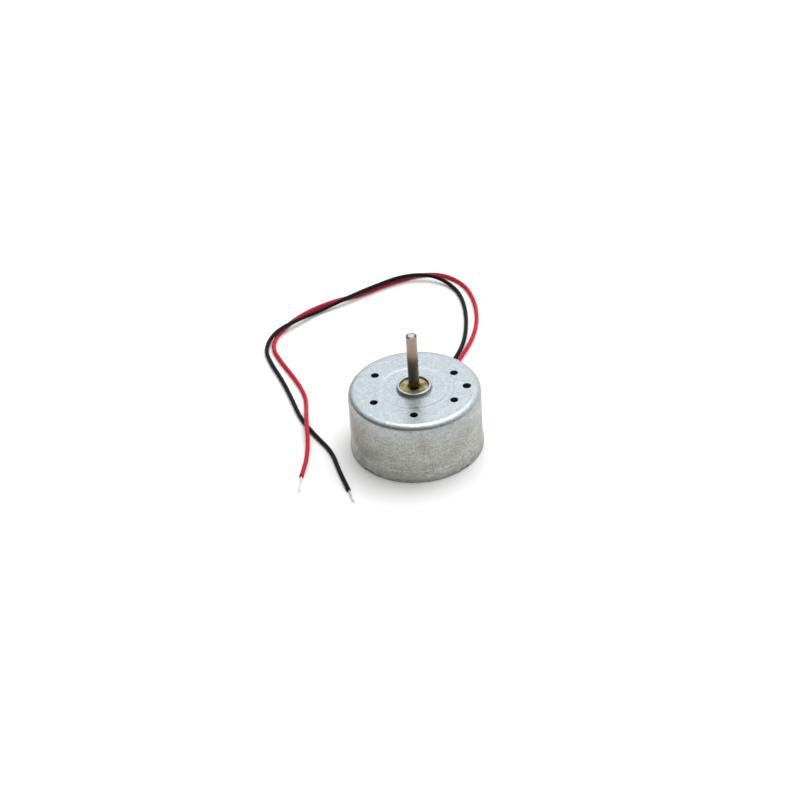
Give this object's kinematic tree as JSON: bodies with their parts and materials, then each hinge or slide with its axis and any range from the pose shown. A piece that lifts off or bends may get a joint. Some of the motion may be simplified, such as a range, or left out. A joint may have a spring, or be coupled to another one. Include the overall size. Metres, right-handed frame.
{
  "type": "flat brushed dc motor",
  "caption": "Flat round brushed DC motor: drawn steel can, plain steel shaft through a front boss, ring of screw holes, and loose red and black leads with bare tinned ends.",
  "frame": {"origin": "on the shaft's axis, in the plane of the rear rim on which the motor stands", "axes": "+Z along the shaft, out of the front, and +X towards the extra hole of the front plate"},
  "size_m": [0.0429, 0.0744, 0.0239],
  "materials": {
    "can_steel": "zinc-plated drawn steel, satin, slightly mottled",
    "bearing_bronze": "oil-soaked sintered bronze, fine grain",
    "shaft_steel": "ground steel, fine turning lines",
    "magnet_rubber": "matt rubber-bonded ferrite",
    "cap_plastic": "natural moulded plastic, satin",
    "lamination_steel": "punched silicon steel",
    "insulation_film": "matt insulating film",
    "commutator_moulding": "moulded phenolic",
    "varistor_ceramic": "dull sintered ceramic",
    "solder": "bright solder",
    "washer_plastic": "translucent slippery plastic",
    "magnet_wire": "enamelled copper wire, glossy",
    "commutator_copper": "bright copper",
    "terminal_brass": "stamped brass",
    "spring_bronze": "thin spring bronze",
    "damper_rubber": "soft black rubber",
    "lead_red": "soft red insulation, slight sheen",
    "lead_black": "soft black insulation, slight sheen",
    "tinned_wire": "twisted tinned copper strands"
  },
  "bodies": {
    "stator": {"black_lead": "lead_black", "black_lead_strands": "tinned_wire", "end_cap": "cap_plastic", "front_bearing": "bearing_bronze", "housing_can": "can_steel", "negative_brush_arm": "spring_bronze", "negative_brush_damper": "damper_rubber", "negative_solder_joint": "solder", "negative_terminal": "terminal_brass", "positive_brush_arm": "spring_bronze", "positive_brush_damper": "damper_rubber", "positive_solder_joint": "solder", "positive_terminal": "terminal_brass", "rear_bearing": "bearing_bronze", "red_lead": "lead_red", "red_lead_strands": "tinned_wire", "ring_magnet": "magnet_rubber", "thrust_plate": "shaft_steel"},
    "rotor": {"shaft": "shaft_steel", "rotor_laminations": "lamination_steel", "front_insulator": "insulation_film", "rear_insulator": "insulation_film", "commutator_core": "commutator_moulding", "commutator_ring": "commutator_moulding", "varistor_ring": "varistor_ceramic", "commutator_solder": "solder", "spacer_sleeve": "washer_plastic", "front_thrust_washer": "washer_plastic", "rear_thrust_washer": "washer_plastic", "coil_a": "magnet_wire", "coil_b": "magnet_wire", "coil_c": "magnet_wire", "commutator_segment_a": "commutator_copper", "commutator_segment_b": "commutator_copper", "commutator_segment_c": "commutator_copper"}
  },
  "joints": [
    {"name": "rotor_spin", "type": "hinge", "parent": "stator", "child": "rotor", "pos_m": [0, 0, 0], "axis": [0, 0, 1], "continuous": true}
  ]
}
